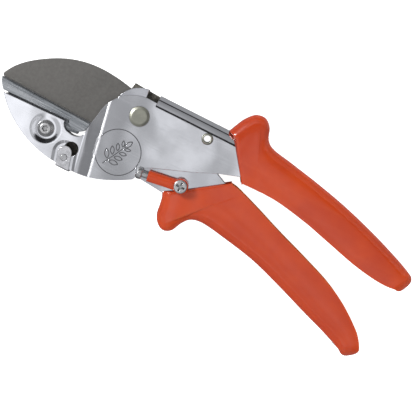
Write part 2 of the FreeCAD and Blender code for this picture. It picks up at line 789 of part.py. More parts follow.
def pressed_dish(x, y):
    """Cutter for the dish round the anvil screw: flat in the middle, with an S-shaped wall."""
    depth = dim("dish_depth")
    flat = dim("dish_flat")
    rim = dim("dish_rim")
    half = (rim - flat) / 2
    bend = (half ** 2 + (depth / 2) ** 2) / depth
    turn = math.asin(half / bend) / 2
    along = bend * math.sin(turn)
    rise = bend * (1 - math.cos(turn))
    floor = Part.LineSegment(V(0, 0, -depth), V(flat, 0, -depth))
    hollow = Part.Arc(V(flat, 0, -depth), V(flat + along, 0, rise - depth), V(flat + half, 0, -depth / 2))
    shoulder = Part.Arc(V(flat + half, 0, -depth / 2), V(rim - along, 0, -rise), V(rim, 0, 0))
    above = Part.makePolygon([V(rim, 0, 0), V(rim, 0, 1), V(0, 0, 1), V(0, 0, -depth)])
    profile = Part.Wire([floor.toShape(), hollow.toShape(), shoulder.toShape()] + above.Edges)
    cutter = Part.Face(profile).revolve(V(0, 0, 0), V(0, 0, 1), 360)
    cutter.translate(V(x, y, JAW_TOP))
    return cutter


def strap_outline(grow):
    """The clip's strap in side view, or the same shape grown all round."""
    half = dim("clip_width") / 2 + grow
    top = dim("clip_top") + grow
    foot = dim("clip_foot")
    strap = outline((-half, -foot), ((half, -foot),), ((half, top - half),), ((0, top), (-half, top - half)),
                    ((-half, -foot),))
    strap.rotate(V(0, 0, 0), V(0, 0, 1), dim("clip_lean"))
    strap.translate(V(dim("clip_x"), dim("clip_y"), 0))
    return strap


def clip_recess():
    """Cutter for the pressed bed that the clip lies in, with sloping walls."""
    depth = dim("clip_recess")
    margin = dim("clip_recess_margin")
    slope = dim("clip_recess_slope")
    above = depth / 2
    bed = strap_outline(margin)
    bed.translate(V(0, 0, JAW_TOP - depth))
    mouth = strap_outline(margin + slope * (depth + above))
    mouth.translate(V(0, 0, JAW_TOP + above))
    return Part.makeLoft([bed, mouth], True, True)


def body_shell():
    """Both head and jaw plates and the handle arm, pressed from one sheet."""
    front_sheet = bent_sheet()
    front = front_sheet.common(slab(plate_outline(False), MID, GRIP_TOP))
    rear = mirrored(front_sheet).common(slab(plate_outline(True), 0, MID))
    arm = arm_solid().cut(arm_cavity())
    solid = arm.fuse([front, rear])
    screw_x = dim("anvil_screw_x")
    screw_y = dim("anvil_screw_y")
    cutters = [bore(0, 0, dim("rivet_shank_dia")),
               bore(dim("spring_pin_x"), dim("spring_pin_y"), dim("spring_pin_dia")),
               bore(screw_x, screw_y, dim("anvil_screw_dia")),
               bore(dim("clip_x"), dim("clip_y"), dim("clip_rivet_dia")),
               cylinder(dim("peep_x"), dim("peep_y"), MID, FAR, dim("peep_dia")),
               pressed_dish(screw_x, screw_y),
               clip_recess(),
               mirrored(clip_recess()),
               ] + engraved_lines()
    for cutter in cutters:
        solid = solid.cut(cutter)
    add_feature("body_shell", solid)


def jaw_clip():
    """A strap folded round the belly of the jaw and riveted through both plates."""
    thick = dim("clip_sheet")
    fold = dim("clip_fold_y")
    inside = dim("jaw_width") / 2 - dim("clip_recess")
    wrap = slab(strap_outline(0), MID - inside - thick, MID + inside + thick)
    below = Part.makeBox(FAR, FAR, FAR, V(-FAR / 2, fold - thick - FAR, -FAR / 2))
    between = Part.makeBox(FAR, FAR, 2 * inside, V(-FAR / 2, fold, MID - inside))
    wrap = wrap.cut(below).cut(between)
    bends = []
    for edge in wrap.Edges:
        box = edge.BoundBox
        if box.YLength < LEVEL and box.XLength > thick and edge.CenterOfMass.y < fold - thick / 2:
            bends.append(edge)
    wrap = wrap.makeFillet(thick * 0.9, bends)
    add_feature("jaw_clip", wrap.cut(bore(dim("clip_x"), dim("clip_y"), dim("clip_rivet_dia"))))


# ---------------------------------------------------------------- lever channel

LEVER_BACK = [(40.0, -28.0), (49.0, -28.4), (60.0, -30.0), (76.4, -33.4), (92.3, -38.4), (108.2, -43.9),
              (124.3, -49.4)]
LEVER_MOUTH = [(128.0, -41.6), (119.0, -35.6), (109.0, -30.9), (93.5, -25.2), (77.4, -19.4), (61.6, -13.7),
               (53.5, -11.4)]


def lever_outline():
    """The lever in side view: round head with a stop nose, then the handle arm."""
    return outline((-1.7, 12.9),
                   ((-11.0, 7.1), (-12.6, -3.6)),
                   ((-9.0, -9.5),), ((8.0, -24.0),), ((13.5, -25.4),), ((25.3, -26.3),),
                   LEVER_BACK,
                   ((133.6, -50.4), (134.6, -46.4)),
                   LEVER_MOUTH,
                   ((43.6, -7.0),), ((32.0, 0.4),), ((20.0, 4.6),), ((6.0, 7.0),), ((-1.2, 9.0),),
                   ((-1.7, 12.9),))


def lever_cavity(width, gap):
    start = -40.0
    back = [(x, y + gap) for x, y in LEVER_BACK]
    wire = outline((start, -24.0 + gap),
                   ((8.0, -24.0 + gap),), ((13.5, -25.4 + gap),), ((25.3, -26.3 + gap),),
                   back,
                   ((131.5, -48.0),), ((131.5, 60.0),), ((start, 60.0),), ((start, -24.0 + gap),))
    return centred(wire, width)


def lever_solid():
    return centred(lever_outline(), dim("lever_width"))


def lever_shell():
    gap = dim("lever_sheet")
    solid = lever_solid().cut(lever_cavity(dim("lever_width") - 2 * gap, gap))
    socket = (dim("lever_width") - dim("lever_sheet")) / 2
    for cutter in (bore(0, 0, dim("bush_dia")),
                   bore(dim("blade_pin_x"), dim("blade_pin_y"), dim("blade_pin_dia")),
                   cylinder(dim("spring_foot_x"), dim("spring_foot_y"), MID - socket, MID + socket,
                            dim("spring_foot_dia")),
                   cylinder(dim("catch_x"), dim("catch_y"), MID, FAR, dim("catch_screw_dia"))):
        solid = solid.cut(cutter)
    add_feature("lever_shell", solid)


# ---------------------------------------------------------------- grips

def soft_grip(wire):
    """The outside of a dipped grip with its long edges rounded."""
    solid = centred(wire, dim("grip_width"))
    edges = [edge for edge in solid.Edges if is_level(edge) and edge.Length > 60]
    return solid.makeFillet(dim("grip_round"), edges)


def upper_grip():
    wire = outline((39.5, 13.6),
                   ((41.2, 17.2), (43.5, 21.4), (47.1, 25.3), (51.7, 25.9), (55.2, 22.8), (57.3, 17.6),
                    (61.6, 14.7), (72.1, 12.9), (88.3, 9.9), (104.4, 6.2), (120.4, 1.5), (136.2, -4.1),
                    (146.0, -8.4), (146.1, -12.8), (141.4, -15.2), (130.7, -15.5), (114.3, -12.7),
                    (98.1, -8.6), (81.9, -5.0), (71.0, -3.7), (60.1, -4.0), (56.0, -4.1)),
                   ((39.5, 13.6),))
    solid = soft_grip(wire).cut(arm_solid()).cut(arm_cavity())
    add_feature("upper_grip", max(solid.Solids, key=lambda piece: piece.Volume))


def lower_grip():
    wire = outline((24.9, -26.2),
                   ((26.4, -30.0), (26.8, -34.8), (28.9, -39.2), (33.2, -41.9), (37.5, -39.3), (39.5, -34.3),
                    (43.3, -30.9), (49.0, -30.4), (60.0, -32.0), (76.4, -35.1), (92.3, -40.0),
                    (108.2, -45.5), (124.3, -51.0), (134.5, -55.2), (138.4, -52.0), (136.8, -47.0),
                    (128.7, -39.6), (119.4, -33.2), (109.2, -28.6), (93.5, -23.2), (77.4, -17.8),
                    (61.6, -12.0), (52.0, -9.6)),
                   ((24.9, -26.2),))
    solid = soft_grip(wire).cut(lever_solid())
    solid = solid.cut(lever_cavity(dim("grip_width") - 2 * dim("grip_wall"), dim("lever_sheet")))
    scoop_dia = dim("catch_eye_dia") + 2 * dim("catch_scoop_gap")
    solid = solid.cut(cylinder(dim("catch_x"), dim("catch_y"), GRIP_TOP - dim("catch_scoop"), FAR, scoop_dia))
    add_feature("lower_grip", max(solid.Solids, key=lambda piece: piece.Volume))


# ---------------------------------------------------------------- spring

def spring():
    """A compression spring between the two cups."""
    pin = V(dim("spring_pin_x"), dim("spring_pin_y"), MID)
    foot = V(dim("spring_foot_x"), dim("spring_foot_y"), MID)
    line = (foot - pin).normalize()
    wire_dia = dim("spring_wire")
    room = (foot - pin).Length - 2 * (dim("cup_reach") + dim("running_gap"))
    rise = room - wire_dia
    radius = (dim("spring_dia") - wire_dia) / 2
    helix = Part.makeHelix(rise / dim("spring_turns"), rise, radius)
    section = Part.Wire(Part.makeCircle(wire_dia / 2, V(radius, 0, 0), V(0, 1, 0)))
    coil = Part.Wire(helix).makePipeShell([section], True, True)
    coil.translate(V(0, 0, dim("cup_reach") + dim("running_gap") + wire_dia / 2))
    turn = FreeCAD.Rotation(V(0, 0, 1), line)
    coil.Placement = FreeCAD.Placement(pin, turn).multiply(coil.Placement)
    feature = doc.addObject("Part::Feature", "spring")
    feature.Label = "spring"
    feature.Shape = coil
    feature.Placement = FreeCAD.Placement(PIVOT, FreeCAD.Rotation()).multiply(coil.Placement)
    subparts.append(feature)


# ---------------------------------------------------------------- build

def check_and_write():
    """Refuses a failed document or a bad shape, then writes one STEP file for each sub-part."""
    doc.recompute()
    for item in doc.Objects:
        if "Invalid" in item.State or "Error" in item.State:
            raise RuntimeError("%s is %s" % (item.Name, item.State))
    os.makedirs("parts", exist_ok=True)
    for item in subparts:
        shape = item.Shape
        if shape.isNull() or not shape.isValid() or not shape.Solids:
            raise RuntimeError("%s has no good solid" % item.Label)
        shape.exportStep("parts/%s.step" % item.Label)
        print("%-18s %2d solid(s) %9.1f mm3" % (item.Label, len(shape.Solids), shape.Volume))


for build in (body_shell, jaw_clip, clip_rivet, anvil, anvil_screw, nuts, pivot_rivet, pivot_bush, washers,
              lever_shell, blade, spring_pin, lever_pins, spring_cups, spring, catch, catch_stud, catch_screw,
              catch_spacer, upper_grip, lower_grip):
    build()
check_and_write()
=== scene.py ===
"""Anvil pruning shears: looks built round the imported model, in metres."""
import math

import bmesh
import bpy
from mathutils import Matrix, Vector


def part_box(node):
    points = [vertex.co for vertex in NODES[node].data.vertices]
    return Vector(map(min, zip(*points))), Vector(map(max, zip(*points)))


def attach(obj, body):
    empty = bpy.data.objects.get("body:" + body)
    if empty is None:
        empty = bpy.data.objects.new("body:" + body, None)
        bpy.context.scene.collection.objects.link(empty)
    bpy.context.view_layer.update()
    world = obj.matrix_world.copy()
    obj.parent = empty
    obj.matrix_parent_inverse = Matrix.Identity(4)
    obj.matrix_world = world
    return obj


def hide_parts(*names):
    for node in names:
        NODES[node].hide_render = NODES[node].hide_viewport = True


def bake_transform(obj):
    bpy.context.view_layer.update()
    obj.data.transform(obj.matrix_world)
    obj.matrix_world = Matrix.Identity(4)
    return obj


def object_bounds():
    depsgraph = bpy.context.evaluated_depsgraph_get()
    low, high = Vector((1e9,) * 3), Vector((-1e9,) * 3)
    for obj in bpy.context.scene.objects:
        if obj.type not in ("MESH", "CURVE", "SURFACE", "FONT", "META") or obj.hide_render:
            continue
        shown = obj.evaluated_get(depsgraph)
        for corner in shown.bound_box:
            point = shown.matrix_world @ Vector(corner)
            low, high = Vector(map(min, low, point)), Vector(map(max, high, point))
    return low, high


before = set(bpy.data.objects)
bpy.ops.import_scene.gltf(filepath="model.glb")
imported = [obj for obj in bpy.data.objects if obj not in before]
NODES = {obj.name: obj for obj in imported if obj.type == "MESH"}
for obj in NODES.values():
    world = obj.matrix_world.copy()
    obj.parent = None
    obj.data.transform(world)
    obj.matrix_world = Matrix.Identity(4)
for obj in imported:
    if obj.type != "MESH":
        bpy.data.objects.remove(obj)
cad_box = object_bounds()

MM = 0.001


def middle(node):
    """The middle of a node's box, in metres."""
    low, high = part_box(node)
    return (Vector(low) + Vector(high)) / 2


PIVOT = middle("pivot_rivet")
MID_HEIGHT = PIVOT.z
GRIP_HALF = (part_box("upper_grip")[1][2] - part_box("upper_grip")[0][2]) / 2
PLATE_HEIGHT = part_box("body_shell")[1][2]


def at(x, y, z=0.0):
    """A point given in millimetres from the pivot, at a height from the mid-plane."""
    return Vector((PIVOT.x + x * MM, PIVOT.y + y * MM, MID_HEIGHT + z * MM))


# ---------------------------------------------------------------- camera, floor and light

VIEW_TURN = math.radians(27.4)
VIEW_TILT = math.radians(5.0)
VIEW_RIGHT = Vector((math.cos(VIEW_TURN), math.sin(VIEW_TURN), 0))
VIEW_AHEAD = Vector((-math.sin(VIEW_TURN), math.cos(VIEW_TURN), 0))
VIEW_BACK = Vector((0, 0, math.cos(VIEW_TILT))) + VIEW_AHEAD * math.sin(VIEW_TILT)
AIM = Vector((5.84 * MM, -8.10 * MM, 14.5 * MM))
DISTANCE = 528.7 * MM
LENS = 100  # focal length and sensor width, both in mm
SENSOR = 36
FLOOR_HALF = 1.5
FLOOR_GAP = 0.2 * MM


def make_camera():
    data = bpy.data.cameras.new("camera")
    data.lens = LENS
    data.sensor_width = SENSOR
    camera = bpy.data.objects.new("camera", data)
    up = VIEW_BACK.cross(VIEW_RIGHT)
    turn = Matrix((VIEW_RIGHT, up, VIEW_BACK)).transposed()
    camera.matrix_world = Matrix.Translation(AIM + VIEW_BACK * DISTANCE) @ turn.to_4x4()
    bpy.context.collection.objects.link(camera)
    bpy.context.scene.camera = camera


def make_floor():
    """A white floor just under the part; it doesn't show in the polished steel."""
    corners = [(x * FLOOR_HALF, y * FLOOR_HALF, 0) for x, y in ((-1, -1), (1, -1), (1, 1), (-1, 1))]
    mesh = bpy.data.meshes.new("floor")
    mesh.from_pydata(corners, [], [(0, 1, 2, 3)])
    floor = bpy.data.objects.new("floor", mesh)
    floor.location.z = cad_box[0][2] - FLOOR_GAP
    bpy.context.collection.objects.link(floor)
    mesh.materials.append(floor_material())
    floor.visible_glossy = False


def area_light(name, right, ahead, up, size, power, stretch=1.0, mirrored=False):
    """A soft light placed from the aim and turned to it; only a mirrored one shows in glossy surfaces."""
    data = bpy.data.lights.new(name, "AREA")
    data.shape = "RECTANGLE"
    data.size = size
    data.size_y = size * stretch
    data.energy = power
    lamp = bpy.data.objects.new(name, data)
    lamp.location = AIM + VIEW_RIGHT * right + VIEW_AHEAD * ahead + Vector((0, 0, up))
    lamp.rotation_euler = (lamp.location - AIM).to_track_quat("Z", "Y").to_euler()
    lamp.visible_camera = False
    lamp.visible_glossy = mirrored
    bpy.context.collection.objects.link(lamp)


def make_lights():
    """A key light over the far left, a tall one along the right and a low one in front."""
    area_light("key_light", -0.75, 0.55, 0.9, size=0.32, power=11.0, mirrored=True)
    area_light("side_light", 0.8, 0.35, 0.7, size=0.25, power=3.5, stretch=3.0)
    area_light("low_light", 0.0, -0.9, 0.6, size=0.6, power=3.0)


def ramp(tree, value, stops):
    """A smooth profile over an angle in degrees; stops are (angle, brightness)."""
    low = stops[0][0]
    high = stops[-1][0]
    place = tree.nodes.new("ShaderNodeMapRange")
    feed(tree, place.inputs["Value"], value)
    place.inputs["From Min"].default_value = math.radians(low)
    place.inputs["From Max"].default_value = math.radians(high)
    node = tree.nodes.new("ShaderNodeValToRGB")
    node.color_ramp.interpolation = "EASE"
    feed(tree, node.inputs["Fac"], place.outputs["Result"])
    elements = node.color_ramp.elements
    while len(elements) < len(stops):
        elements.new(0.5)
    for element, (angle, _) in zip(elements, stops):
        element.position = (angle - low) / (high - low)
    for element, (_, level) in zip(elements, stops):
        element.color = (level, level, level, 1)
    return node.outputs["Color"]


# How bright the studio is, as (angle, brightness), by the angle from straight overhead.
# The first two are multiplied: leaning ahead of the camera, and to its right, with dark gaps between panels.
OVER_AHEAD = [(-90, 0.3), (-60, 0.5), (-30, 0.6), (-12, 1.0), (3, 1.0), (5.5, 0.03), (15, 0.03), (18, 0.8),
              (40, 0.9), (68, 0.7), (73, 0.02), (82, 0.02), (87, 0.6), (90, 0.6)]
OVER_RIGHT = [(-90, 0.2), (-60, 0.45), (-42, 0.32), (-30, 0.40), (-18, 0.55), (-12, 1.1), (-9, 1.25),
              (-6.6, 0.62), (-4.5, 0.34), (-3.0, 0.48), (-1.9, 0.85), (-0.9, 0.90), (-0.2, 0.30),
              (0.7, 0.55), (2.5, 0.95), (9, 0.55), (20, 0.4), (55, 0.4), (70, 0.5), (90, 0.6)]
# A dim wall on the left is added to them.
LEFT_WALL = [(-90, 0.1), (-50, 0.25), (-28, 0.22), (-16, 0.0), (90, 0.0)]
STUDIO_TINT = (0.985, 0.99, 1.02)


def make_world():
    """Panels and dark gaps round the studio, for the polished steel to mirror."""
    world = bpy.data.worlds.new("studio")
    bpy.context.scene.world = world
    world.use_nodes = True
    tree = world.node_tree
    tree.nodes.clear()
    turn = tree.nodes.new("ShaderNodeMapping")
    turn.inputs["Rotation"].default_value = (0.0, 0.0, -VIEW_TURN)
    feed(tree, turn.inputs["Vector"], tree.nodes.new("ShaderNodeTexCoord").outputs["Generated"])
    way = split_axes(tree, turn.outputs["Vector"])
    height = math_node(tree, "MAXIMUM", way["Z"], 0.001)
    lean_ahead = math_node(tree, "ARCTAN2", way["Y"], height)
    lean_right = math_node(tree, "ARCTAN2", way["X"], height)
    ahead = ramp(tree, lean_ahead, OVER_AHEAD)
    right = ramp(tree, lean_right, OVER_RIGHT)
    wall = ramp(tree, lean_right, LEFT_WALL)
    panels = vector_node(tree, "MULTIPLY", ahead, right)
    lit = vector_node(tree, "ADD", panels, wall)
    back = tree.nodes.new("ShaderNodeBackground")
    out = tree.nodes.new("ShaderNodeOutputWorld")
    feed(tree, back.inputs["Color"], vector_node(tree, "MULTIPLY", lit, STUDIO_TINT))
    feed(tree, out.inputs["Surface"], back.outputs["Background"])
    bpy.context.scene.view_settings.view_transform = "Standard"


# ---------------------------------------------------------------- node helpers

def new_group(name, inputs, outputs):
    """An empty node group; inputs are name to (kind, default), outputs name to kind."""
    tree = bpy.data.node_groups.new(name, "ShaderNodeTree")
    for label, (kind, value) in inputs.items():
        socket = tree.interface.new_socket(label, in_out="INPUT", socket_type=kind)
        socket.default_value = value
    for label, kind in outputs.items():
        tree.interface.new_socket(label, in_out="OUTPUT", socket_type=kind)
    start = tree.nodes.new("NodeGroupInput")
    end = tree.nodes.new("NodeGroupOutput")
    return tree, start, end


def feed(tree, socket, value):
    """Links a socket, or sets it where the value is a plain one."""
    if isinstance(value, bpy.types.NodeSocket):
        tree.links.new(value, socket)
    elif value is not None:
        socket.default_value = value


def math_node(tree, kind, a, b=None):
    node = tree.nodes.new("ShaderNodeMath")
    node.operation = kind
    feed(tree, node.inputs[0], a)
    feed(tree, node.inputs[1], b)
    return node.outputs[0]


def vector_node(tree, kind, a, b, output="Vector"):
    node = tree.nodes.new("ShaderNodeVectorMath")
    node.operation = kind
    feed(tree, node.inputs[0], a)
    feed(tree, node.inputs[1], b)
    return node.outputs[output]


def split_axes(tree, vector):
    """A vector's X, Y and Z, by name."""
    node = tree.nodes.new("ShaderNodeSeparateXYZ")
    feed(tree, node.inputs["Vector"], vector)
    return node.outputs


def smooth_step(tree, value, low, high):
    node = tree.nodes.new("ShaderNodeMapRange")
    node.interpolation_type = "SMOOTHSTEP"
    feed(tree, node.inputs["Value"], value)
    node.inputs["From Min"].default_value = low
    node.inputs["From Max"].default_value = high
    return node.outputs["Result"]


def mix_colour(tree, mask, first, second):
    """The first colour where the mask is black; the node's colour sockets are 6 and 7, and 2 out."""
    node = tree.nodes.new("ShaderNodeMix")
    node.data_type = "RGBA"
    feed(tree, node.inputs[0], mask)
    feed(tree, node.inputs[6], first)
    feed(tree, node.inputs[7], second)
    return node.outputs[2]


def mix_value(tree, mask, first, second):
    """The first value where the mask is black."""
    node = tree.nodes.new("ShaderNodeMix")
    node.data_type = "FLOAT"
    feed(tree, node.inputs[0], mask)
    feed(tree, node.inputs[2], first)
    feed(tree, node.inputs[3], second)
    return node.outputs[0]


def noise(tree, vector, scale, detail=3.0, rough=0.5):
    node = tree.nodes.new("ShaderNodeTexNoise")
    feed(tree, node.inputs["Vector"], vector)
    feed(tree, node.inputs["Scale"], scale)
    node.inputs["Detail"].default_value = detail
    node.inputs["Roughness"].default_value = rough
    return node.outputs["Fac"]


def stretched(tree, vector, scale, turn=0.0):
    node = tree.nodes.new("ShaderNodeMapping")
    feed(tree, node.inputs["Vector"], vector)
    node.inputs["Scale"].default_value = scale
    node.inputs["Rotation"].default_value = (0, 0, turn)
    return node.outputs["Vector"]


def object_place(tree):
    return tree.nodes.new("ShaderNodeTexCoord").outputs["Object"]


# ---------------------------------------------------------------- shared effects

def soft_mottle():
    """Slow cloudy change over a surface, for smudges and uneven polish."""
    tree, start, end = new_group("soft_mottle", {"Scale": ("NodeSocketFloat", 60.0)},
                                 {"Mask": "NodeSocketFloat"})
    cloud = noise(tree, object_place(tree), start.outputs["Scale"], 4.0, 0.6)
    feed(tree, end.inputs["Mask"], smooth_step(tree, cloud, 0.3, 0.7))
    return tree


def hair_scratches():
    """Fine crossed scratches from polishing and use."""
    tree, start, end = new_group("hair_scratches", {"Scale": ("NodeSocketFloat", 400.0)},
                                 {"Mask": "NodeSocketFloat"})
    place = object_place(tree)
    total = None
    for turn, along in ((0.25, 0.04), (-0.6, 0.05), (1.3, 0.06)):
        lane = stretched(tree, place, (along, 1.0, 1.0), turn)
        line = smooth_step(tree, noise(tree, lane, start.outputs["Scale"], 2.0, 0.5), 0.58, 0.78)
        total = line if total is None else math_node(tree, "MAXIMUM", total, line)
    feed(tree, end.inputs["Mask"], total)
    return tree


def grind_lines():
    """Close parallel lines from a grinding belt, across the way it runs."""
    tree, start, end = new_group("grind_lines", {"Scale": ("NodeSocketFloat", 500.0),
                                                 "Turn": ("NodeSocketFloat", 0.0)},
                                 {"Mask": "NodeSocketFloat"})
    spin = tree.nodes.new("ShaderNodeVectorRotate")
    spin.rotation_type = "Z_AXIS"
    feed(tree, spin.inputs["Vector"], object_place(tree))
    feed(tree, spin.inputs["Angle"], start.outputs["Turn"])
    lane = stretched(tree, spin.outputs["Vector"], (1.0, 0.03, 1.0))
    feed(tree, end.inputs["Mask"], noise(tree, lane, start.outputs["Scale"], 3.0, 0.7))
    return tree


def inner_face():
    """White on faces that look towards the mid-plane, which never meet the polishing wheel."""
    tree, start, end = new_group("inner_face", {"Mid Height": ("NodeSocketFloat", 8 * MM)},
                                 {"Mask": "NodeSocketFloat"})
    geometry = tree.nodes.new("ShaderNodeNewGeometry")
    place = split_axes(tree, geometry.outputs["Position"])
    facing = split_axes(tree, geometry.outputs["Normal"])
    side = math_node(tree, "SIGN", math_node(tree, "SUBTRACT", place["Z"], start.outputs["Mid Height"]))
    outward = math_node(tree, "MULTIPLY", side, facing["Z"])
    feed(tree, end.inputs["Mask"], smooth_step(tree, math_node(tree, "MULTIPLY", outward, -1.0), 0.3, 0.8))
    return tree


def sheared_edge():
    """White on the cut edges of a sheet, whose faces stand upright."""
    tree, _, end = new_group("sheared_edge", {}, {"Mask": "NodeSocketFloat"})
    geometry = tree.nodes.new("ShaderNodeNewGeometry")
    lean = math_node(tree, "ABSOLUTE", split_axes(tree, geometry.outputs["True Normal"])["Z"])
    feed(tree, end.inputs["Mask"], smooth_step(tree, math_node(tree, "SUBTRACT", 1.0, lean), 0.85, 0.99))
    return tree


def painted_recess_shade():
    """White deep in corners and recesses, where painted shade goes."""
    tree, start, end = new_group("painted_recess_shade", {"Reach": ("NodeSocketFloat", 1 * MM)}, {"Mask": "NodeSocketFloat"})
    shade = tree.nodes.new("ShaderNodeAmbientOcclusion")
    shade.samples = 6
    feed(tree, shade.inputs["Distance"], start.outputs["Reach"])
    open_air = smooth_step(tree, shade.outputs["AO"], 0.25, 0.75)
    feed(tree, end.inputs["Mask"], math_node(tree, "SUBTRACT", 1.0, open_air))
    return tree


def rounded():
    """The surface's direction with its sharp edges eased, as tumbling and plating leave them."""
    tree, start, end = new_group("rounded", {"Radius": ("NodeSocketFloat", 0.3 * MM)},
                                 {"Normal": "NodeSocketVector"})
    bevel = tree.nodes.new("ShaderNodeBevel")
    bevel.samples = 6
    feed(tree, bevel.inputs["Radius"], start.outputs["Radius"])
    feed(tree, end.inputs["Normal"], bevel.outputs["Normal"])
    return tree


GROUPS = {}


def effect(tree, maker, output="Mask", **values):
    """Places a shared effect in a material with its own values, and gives its output."""
    if maker.__name__ not in GROUPS:
        GROUPS[maker.__name__] = maker()
    node = tree.nodes.new("ShaderNodeGroup")
    node.node_tree = GROUPS[maker.__name__]
    for name, value in values.items():
        feed(tree, node.inputs[name.replace("_", " ")], value)
    return node.outputs[output]


# ---------------------------------------------------------------- materials

def new_material(name):
    material = bpy.data.materials.new(name)
    material.use_nodes = True
    tree = material.node_tree
    return material, tree, tree.nodes["Principled BSDF"]


def bump(tree, shader, height, depth, strength=1.0, normal=None):
    """Raises a surface by a height mask, on top of another bump's or an eased edge's direction."""
    node = tree.nodes.new("ShaderNodeBump")
    node.inputs["Strength"].default_value = strength
    node.inputs["Distance"].default_value = depth
    feed(tree, node.inputs["Height"], height)
    if normal is not None:
        feed(tree, node.inputs["Normal"], normal)
    tree.links.new(node.outputs["Normal"], shader.inputs["Normal"])
    return node.outputs["Normal"]


def floor_material():
    """A floor that glows, so that it stays white round the part's soft shadow."""
    material, _, shader = new_material("studio_floor")
    shader.inputs["Base Color"].default_value = (0.70, 0.70, 0.70, 1)
    shader.inputs["Roughness"].default_value = 0.9
    shader.inputs["Specular IOR Level"].default_value = 0.1
    shader.inputs["Emission Color"].default_value = (1.0, 1.0, 1.0, 1)
    shader.inputs["Emission Strength"].default_value = 1.0
    return material


def with_painted_shade(tree, colour, shade_paint, reach, strength):
    """Darkens a colour in corners and recesses: painted shade."""
    mask = math_node(tree, "MULTIPLY", effect(tree, painted_recess_shade, Reach=reach), strength)
    return mix_colour(tree, mask, colour, shade_paint)


def added(tree, *heights):
    """The sum of several (height, share) pairs, for a bump."""
    total = 0.0
    for height, share in heights:
        total = math_node(tree, "ADD", math_node(tree, "MULTIPLY", height, share), total)
    return total


# The emblem's disc on the head plate, and how deep its lines lie below the outside of the sheet.
EMBLEM = at(-1.3, -19.0)
EMBLEM_REACH = 11.6 * MM
ENGRAVED_DEPTHS = (0.02 * MM, 0.08 * MM)
SHEET_TOP = 0.4 * MM
# The two ends of the bend where the plate steps down to the jaw.
CREASE_TOP = at(-14.1, -4.2)
CREASE_FOOT = at(-8.4, -34.8)
RIDGE_HALF = 0.8 * MM
RIDGE_DROP = 0.9 * MM


def below_plate(tree):
    """How far a point lies below the outside of the head plate."""
    return math_node(tree, "SUBTRACT", PLATE_HEIGHT, split_axes(tree, object_place(tree))["Z"])


def on_emblem(tree):
    """White over the emblem's disc."""
    apart = vector_node(tree, "DISTANCE", object_place(tree), (EMBLEM.x, EMBLEM.y, PLATE_HEIGHT), "Value")
    return math_node(tree, "LESS_THAN", apart, EMBLEM_REACH)


def engraved(tree, disc):
    """White in the lines cut into the plate on the emblem's disc."""
    sunk = below_plate(tree)
    low = smooth_step(tree, sunk, *ENGRAVED_DEPTHS)
    near = math_node(tree, "LESS_THAN", sunk, SHEET_TOP)
    return math_node(tree, "MULTIPLY", math_node(tree, "MULTIPLY", low, near), disc)


def crease_ridge(tree):
    """White along the outside bend where the plate steps down to the jaw, where a highlight is painted."""
    along = (CREASE_FOOT - CREASE_TOP).normalized()
    across = Vector((-along.y, along.x, 0))
    place = vector_node(tree, "DOT_PRODUCT", object_place(tree), across, "Value")
    apart = math_node(tree, "ABSOLUTE", math_node(tree, "SUBTRACT", place, across.dot(CREASE_TOP)))
    close = smooth_step(tree, math_node(tree, "SUBTRACT", RIDGE_HALF, apart), 0.0, RIDGE_HALF)
    high = math_node(tree, "LESS_THAN", below_plate(tree), RIDGE_DROP)
    return math_node(tree, "MULTIPLY", close, high)


def plated_steel(name, colour, rough, dull, shift):
    """Bright plate over pressed sheet: polished outside, grey and rough inside the channel.

    The shift moves its slow waves, so that two sheets don't wave alike.
    """
    material, tree, shader = new_material(name)
    shader.inputs["Metallic"].default_value = 1.0
    inside = effect(tree, inner_face, Mid_Height=MID_HEIGHT)
    cloud = effect(tree, soft_mottle, Scale=70.0)
    grit = effect(tree, soft_mottle, Scale=900.0)
    scratch = effect(tree, hair_scratches, Scale=500.0)
    edge = effect(tree, sheared_edge)
    pitted = mix_colour(tree, grit, [c * 0.45 for c in dull[:3]] + [1], dull)
    clean = mix_colour(tree, cloud, colour, [c * 0.93 for c in colour[:3]] + [1])
    # Painted shade: the upright cut edges of the sheet are darkened towards brown-grey.
    edge_shade_painted = mix_colour(tree, math_node(tree, "MULTIPLY", edge, 0.6), clean, (0.30, 0.28, 0.26, 1))
    # Painted shade: the plate's colour goes dark grey in corners and recesses.
    shade_painted = with_painted_shade(tree, edge_shade_painted, (0.10, 0.10, 0.10, 1), reach=0.9 * MM, strength=0.75)
    disc = on_emblem(tree)
    lines = engraved(tree, disc)
    ridge_highlight = crease_ridge(tree)
    # Painted shade: the engraved lines on the emblem are darkened to near black.
    groove_shade_painted = mix_colour(tree, math_node(tree, "MULTIPLY", lines, 0.8), shade_painted, (0.05, 0.05, 0.055, 1))
    # Painted highlight: a near-white band of colour along the outside of the bend.
    wear_and_highlight = mix_colour(tree, ridge_highlight, groove_shade_painted, (0.92, 0.92, 0.94, 1))
    feed(tree, shader.inputs["Base Color"], mix_colour(tree, inside, wear_and_highlight, pitted))
    hazy = mix_value(tree, cloud, rough, rough + 0.04)
    scratched = mix_value(tree, math_node(tree, "MULTIPLY", scratch, 0.15), hazy, rough + 0.18)
    dulled = mix_value(tree, math_node(tree, "MAXIMUM", lines, ridge_highlight), scratched, 0.45)
    feed(tree, shader.inputs["Roughness"], mix_value(tree, inside, dulled, 0.62))
    sway = vector_node(tree, "ADD", object_place(tree), (shift, shift * 0.7, 0.0))
    wave = noise(tree, sway, 42.0, 1.0, 0.4)
    eased = effect(tree, rounded, "Normal", Radius=mix_value(tree, disc, 0.4 * MM, 0.04 * MM))
    broad = bump(tree, shader, wave, depth=0.4 * MM, normal=eased)
    fine = math_node(tree, "MULTIPLY", scratch, 0.3)
    bump(tree, shader, mix_value(tree, inside, fine, grit), depth=0.03 * MM, strength=0.3, normal=broad)
    return material


